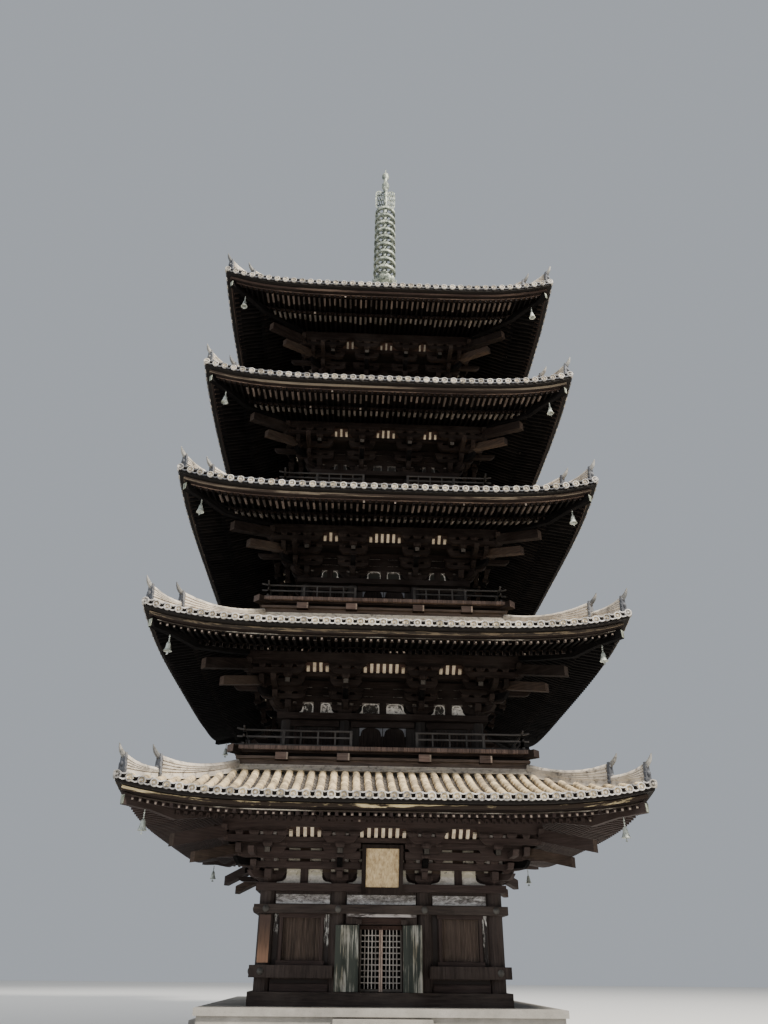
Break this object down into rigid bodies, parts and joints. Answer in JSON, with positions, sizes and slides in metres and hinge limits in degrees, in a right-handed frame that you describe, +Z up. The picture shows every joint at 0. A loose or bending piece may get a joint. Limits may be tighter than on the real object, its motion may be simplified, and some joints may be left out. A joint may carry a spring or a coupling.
{
  "type": "five-storey timber pagoda",
  "caption": "Tall square timber tower with stacked tiled roofs that curve up at the corners, railed balconies, a stone platform and a ringed bronze spire.",
  "frame": {"origin": "on the ground under the middle of the stone platform", "axes": "+Z up along the spire, -Y out of the front doorway, +X to the right as seen from the front"},
  "size_m": [13.12, 13.12, 37.18],
  "materials": {
    "dark_timber": "dark weathered softwood, unpainted",
    "brown_timber": "brown weathered softwood, unpainted",
    "grey_timber": "grey bleached planks with water streaks",
    "roof_tile": "unglazed grey clay tiles, weathered",
    "stone": "dressed stone, matt",
    "bronze": "cast bronze with green patina",
    "sign_board": "pale worn board, bare"
  },
  "bodies": {
    "tower": {"front_wall_left": "dark_timber", "front_wall_right": "dark_timber", "front_door_head": "dark_timber", "front_door_sill": "dark_timber", "right_wall": "dark_timber", "back_wall": "dark_timber", "left_wall": "dark_timber", "ground_beams": "dark_timber", "tie_beams": "dark_timber", "brackets_1": "dark_timber", "brackets_2": "dark_timber", "brackets_3": "dark_timber", "brackets_4": "dark_timber", "brackets_5": "dark_timber", "walls_2": "dark_timber", "walls_3": "dark_timber", "walls_4": "dark_timber", "walls_5": "dark_timber", "eaves_1": "brown_timber", "eaves_2": "brown_timber", "eaves_3": "brown_timber", "eaves_4": "brown_timber", "eaves_5": "brown_timber", "balcony_2": "brown_timber", "balcony_3": "brown_timber", "balcony_4": "brown_timber", "balcony_5": "brown_timber", "column_tablet": "brown_timber", "right_doors": "grey_timber", "back_doors": "grey_timber", "left_doors": "grey_timber", "roof_1": "roof_tile", "roof_2": "roof_tile", "roof_3": "roof_tile", "roof_4": "roof_tile", "roof_5": "roof_tile", "stone_platform": "stone", "spire_base": "bronze", "spire_rings": "bronze", "spire_flames": "bronze", "spire_jewels": "bronze", "sign_board": "sign_board"},
    "plank_door_left": {"front_plank_door_left": "grey_timber"},
    "plank_door_right": {"front_plank_door_right": "grey_timber"},
    "lattice_door_left": {"front_lattice_door_left": "brown_timber"},
    "lattice_door_right": {"front_lattice_door_right": "brown_timber"}
  },
  "joints": [
    {"name": "plank_door_left_hinge", "type": "hinge", "parent": "tower", "child": "plank_door_left", "pos_m": [-0.585, -3.216, 0], "axis": [0, 0, 1], "range_deg": [0, 180]},
    {"name": "plank_door_right_hinge", "type": "hinge", "parent": "tower", "child": "plank_door_right", "pos_m": [0.585, -3.216, 0], "axis": [0, 0, -1], "range_deg": [-45, 135]},
    {"name": "lattice_door_left_hinge", "type": "hinge", "parent": "tower", "child": "lattice_door_left", "pos_m": [-0.52, -2.976, 0], "axis": [0, 0, 1], "range_deg": [0, 90]},
    {"name": "lattice_door_right_hinge", "type": "hinge", "parent": "tower", "child": "lattice_door_right", "pos_m": [0.52, -2.976, 0], "axis": [0, 0, -1], "range_deg": [0, 90]}
  ]
}
